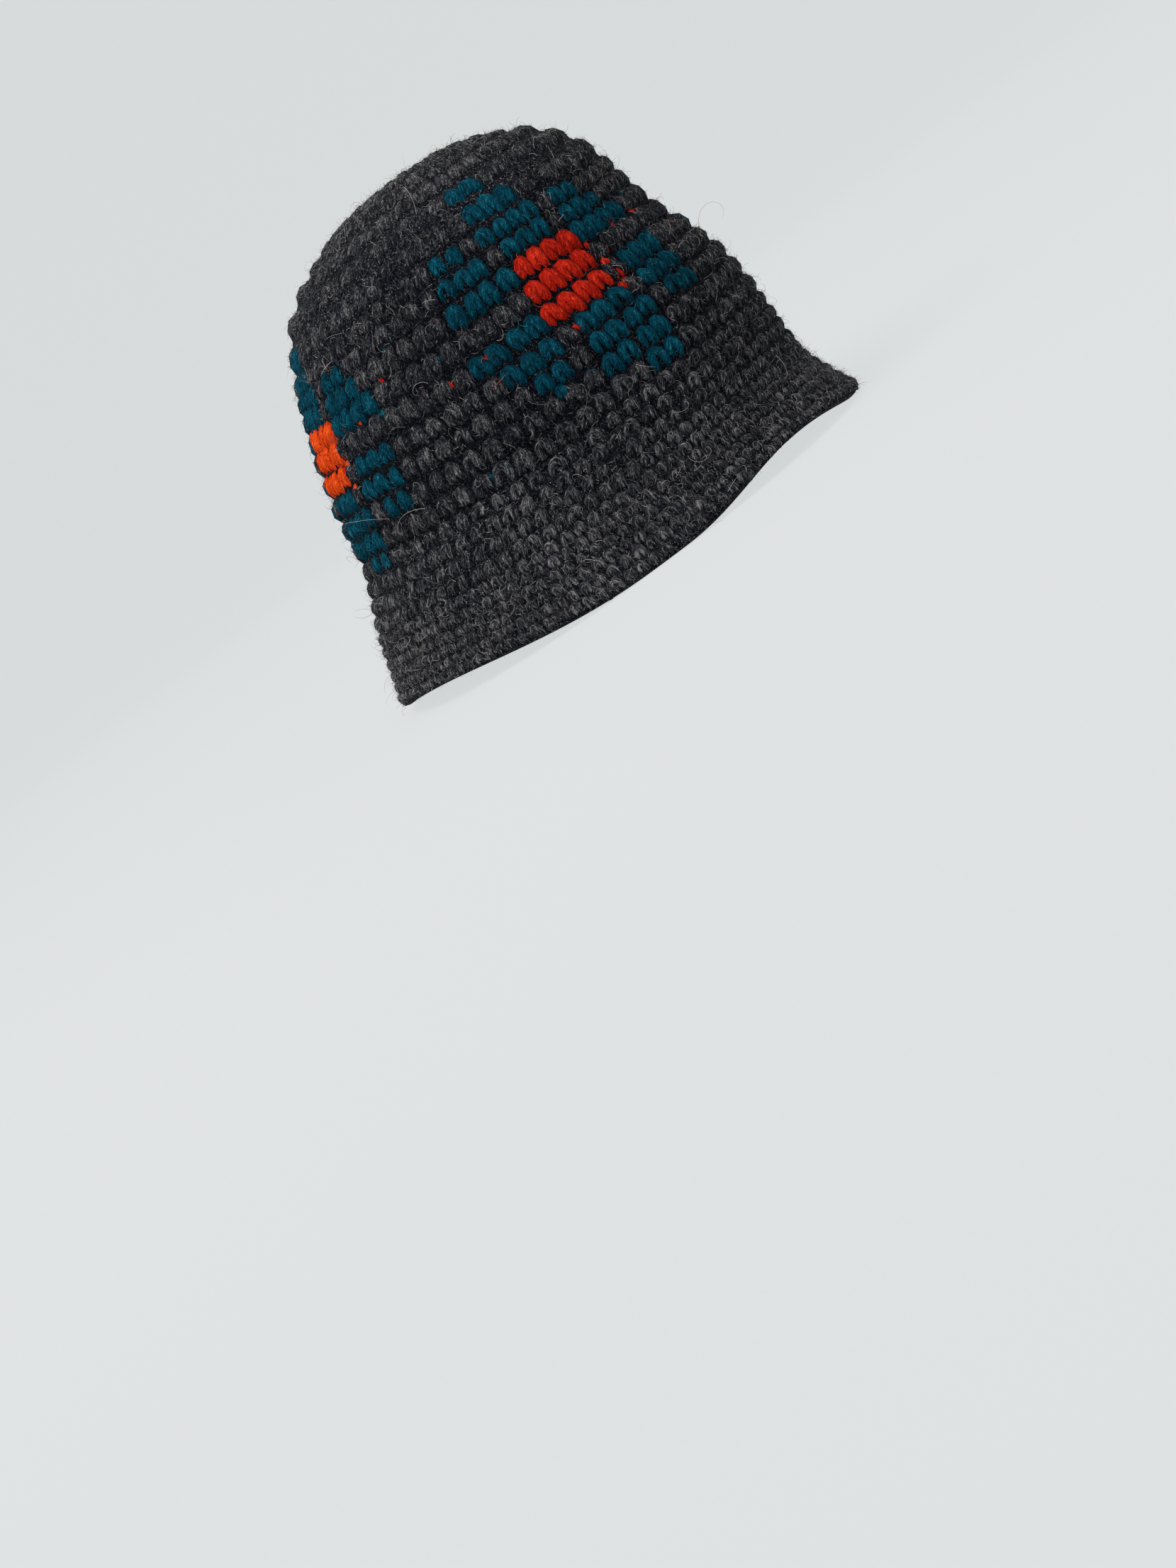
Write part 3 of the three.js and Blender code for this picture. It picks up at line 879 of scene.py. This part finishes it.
charcoal_hair = hair_material(
    "charcoal_hair",
    [
        (0.0, (0.004, 0.004, 0.006)),
        (0.4, (0.035, 0.034, 0.037)),
        (0.75, (0.16, 0.155, 0.15)),
        (1.0, (0.5, 0.48, 0.45)),
    ],
)
teal_hair = hair_material(
    "teal_hair", [(0.0, (0.0, 0.012, 0.02)), (0.6, (0.002, 0.06, 0.09)), (1.0, (0.06, 0.28, 0.32))]
)
red_hair = hair_material(
    "red_hair", [(0.0, (0.12, 0.003, 0.002)), (0.6, (0.45, 0.02, 0.008)), (1.0, (0.90, 0.16, 0.07))]
)
FUZZ = dict(length=2.2 * MM, rings=3, lying=0.35, turned=(0.6, 2.2))
LOOSE = dict(length=4.6 * MM, rings=5, lying=0.5, turned=(1.2, 3.8))
FUR = [
    ("crown_top", top_loops, 5200, 1300, charcoal_hair, "charcoal_wool"),
    ("crown_side", side_loops, 12000, 3000, charcoal_hair, "charcoal_wool"),
    ("petal", petal_loops, 4000, 900, teal_hair, "teal_wool"),
    ("centre", centre_loops, 900, 200, red_hair, "red_wool"),
    ("brim", brim_loops, 15600, 3900, charcoal_hair, "charcoal_wool"),
]
for part, loops_made, fuzz_count, hair_count, material, slot in FUR:
    hair_piece(part + "_fuzz", loops_made, fuzz_count, material, slot, **FUZZ)
    hair_piece(part + "_hair", loops_made, hair_count, material, slot, **LOOSE)

CURLS = 190
CURL_RINGS = 12
CURL_LENGTH = 7.5 * MM
CURL_SPREAD = 0.35
CURL_TURN = 4.2
CURL_WIDTH = 1.6
CURL_DRIFT = 0.35
CURL_ARCH = 0.16
CURL_LIFT = 0.10
CURL_GIRTH = 1.3 * HAIR
CURL_TAPER = 0.5
PALE = 0.75
root, out = [np.concatenate(both) for both in zip(roots_on(side_loops, CURLS), roots_on(brim_loops, CURLS))]
share = np.linspace(0, 1, CURL_RINGS)[:, None]
across = unit(np.cross(out, chance.normal(0, 1, out.shape)))
other = np.cross(out, across)
reach = chance.lognormal(np.log(CURL_LENGTH), CURL_SPREAD, (len(out), 1, 1))
swing = chance.uniform(-1, 1, (len(out), 1, 1)) * CURL_TURN * share
rise = CURL_ARCH * np.sin(np.pi * share) + CURL_LIFT * share
path = np.sin(swing) / CURL_TURN * across[:, None] * CURL_WIDTH
path = path + (1 - np.cos(swing)) / CURL_TURN * other[:, None] * CURL_WIDTH
path = path + share * across[:, None] * CURL_DRIFT + rise * out[:, None]
path = root[:, None] + reach * path
path[..., 2] = np.maximum(path[..., 2], FLOOR_CLEAR)
girth = np.full(path.shape[:2], CURL_GIRTH) * (1 - CURL_TAPER * share[None, :, 0])
curls = hair_mesh("long_pale_hairs", path, girth, chance.uniform(PALE, 1, len(out)))
curls.data.materials.append(charcoal_hair)
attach(curls, "root")

# The stage
# A pale floor that sweeps up into a wall all round, so that no edge shows. One large soft light hangs above
# and to the left of the camera's view, a weaker one stands low on the same side and one behind the hat,
# under a pale sky.
FLOOR_CENTRE = (0.05, 0.4)
FLOOR_ROWS = 6
FLOOR_RADIUS = 2.3
SWEEP = 1.5
STAGE_TOP = 4.0
STAGE_SIDES = 96
SWEEP_ROWS = 13
turned = np.linspace(0, np.pi / 2, SWEEP_ROWS + 1)[1:]
flat = np.append(FLOOR_CENTRE[0], np.linspace(FLOOR_CENTRE[1], FLOOR_RADIUS, FLOOR_ROWS))
radius = np.concatenate([flat, FLOOR_RADIUS + SWEEP * np.sin(turned)])
level = np.concatenate([np.zeros(len(flat)), SWEEP * (1 - np.cos(turned))])
radius = np.append(radius, FLOOR_RADIUS + SWEEP)[::-1, None]
level = np.append(level, STAGE_TOP)[::-1, None]
turn = np.linspace(0, 2 * np.pi, STAGE_SIDES, endpoint=False)[None, :]
points = np.stack(np.broadcast_arrays(radius * np.cos(turn), radius * np.sin(turn), level), -1)
points = np.vstack([points.reshape(-1, 3), [[0, 0, 0]]])
inmost = (len(radius) - 1) * STAGE_SIDES
here = inmost + np.arange(STAGE_SIDES)
beside = inmost + (np.arange(STAGE_SIDES) + 1) % STAGE_SIDES
middle = np.full(STAGE_SIDES, len(points) - 1)
faces = [grid_faces(len(radius), STAGE_SIDES, closed_rows=False), np.stack([middle, here, beside], -1)]
floor = mesh_piece("pale_sweep", points, faces)
paper = new_material("pale_paper")
matte = shader(paper, "ShaderNodeBsdfDiffuse", Color=(0.07, 0.07, 0.07, 1), Roughness=0.5)
glow = shader(paper, "ShaderNodeEmission", Color=(0.97, 1.0, 1.0, 1), Strength=0.66)
lit = shader(paper, "ShaderNodeAddShader")
paper_out = shader(paper, "ShaderNodeOutputMaterial")
paper.node_tree.links.new(matte.outputs["BSDF"], lit.inputs[0])
paper.node_tree.links.new(glow.outputs["Emission"], lit.inputs[1])
paper.node_tree.links.new(lit.outputs["Shader"], paper_out.inputs["Surface"])
floor.data.materials.append(paper)

# The camera
# It stands at the wearer's right, a little toward the back, as far off and as high as the photo's rows and
# stitches say, and rolls so that the hat leans in the picture as it does there.
PHOTO_WIDTH = 1659
PHOTO_HEIGHT = 2212
FOCAL_PIXELS = 3330
RIM_PIXEL = (892.7, 774.8)
PICTURE_ROLL = np.radians(35.5)
CAMERA_AZIMUTH = np.radians(245.4)
CAMERA_DISTANCE = 1.110
CAMERA_HEIGHT = 0.117
FILM = 36.0
LIGHTS_AIM = (0, 0, 0.1)


def frame_of(ahead, above):
    """Three unit vectors as columns: ahead, the part of above that is square to it, and their product."""
    ahead = Vector(ahead).normalized()
    above = (Vector(above) - Vector(above).dot(ahead) * ahead).normalized()
    return Matrix((ahead, above, ahead.cross(above))).transposed()


stand = Vector(
    (CAMERA_DISTANCE * np.sin(CAMERA_AZIMUTH), -CAMERA_DISTANCE * np.cos(CAMERA_AZIMUTH), CAMERA_HEIGHT)
)
seen = (RIM_PIXEL[0] - PHOTO_WIDTH / 2, PHOTO_HEIGHT / 2 - RIM_PIXEL[1], -FOCAL_PIXELS)
in_picture = frame_of(seen, (-np.sin(PICTURE_ROLL), np.cos(PICTURE_ROLL), 0))
in_world = frame_of(-stand, (0, 0, 1))
lens = bpy.data.cameras.new("photo_camera")
lens.sensor_fit = "VERTICAL"
lens.sensor_height = FILM
lens.lens = FILM * FOCAL_PIXELS / PHOTO_HEIGHT
camera = bpy.data.objects.new("photo_camera", lens)
camera.matrix_world = Matrix.Translation(stand) @ (in_world @ in_picture.transposed()).to_4x4()
bpy.context.scene.collection.objects.link(camera)
bpy.context.scene.camera = camera


def soft_light(name, place, size, power, colour):
    """A square area light that faces the hat."""
    lamp = bpy.data.lights.new(name, "AREA")
    lamp.size = size
    lamp.energy = power
    lamp.color = colour
    light = bpy.data.objects.new(name, lamp)
    light.location = place
    light.rotation_euler = (Vector(LIGHTS_AIM) - Vector(place)).to_track_quat("-Z", "Y").to_euler()
    bpy.context.scene.collection.objects.link(light)


soft_light("window", (-0.42, 0.86, 1.42), 1.1, 24, (1.0, 0.985, 0.96))
soft_light("fill", (-1.1, 1.2, 0.5), 1.4, 5, (0.95, 0.98, 1.0))
soft_light("back_fill", (1.4, -0.6, 1.3), 1.6, 8, (1.0, 1.0, 1.0))
sky = bpy.data.worlds.new("pale_sky")
sky.use_nodes = True
sky.node_tree.nodes["Background"].inputs["Color"].default_value = (0.93, 0.96, 1.0, 1)
sky.node_tree.nodes["Background"].inputs["Strength"].default_value = 0.7
bpy.context.scene.world = sky
bpy.context.scene.view_settings.view_transform = "Standard"
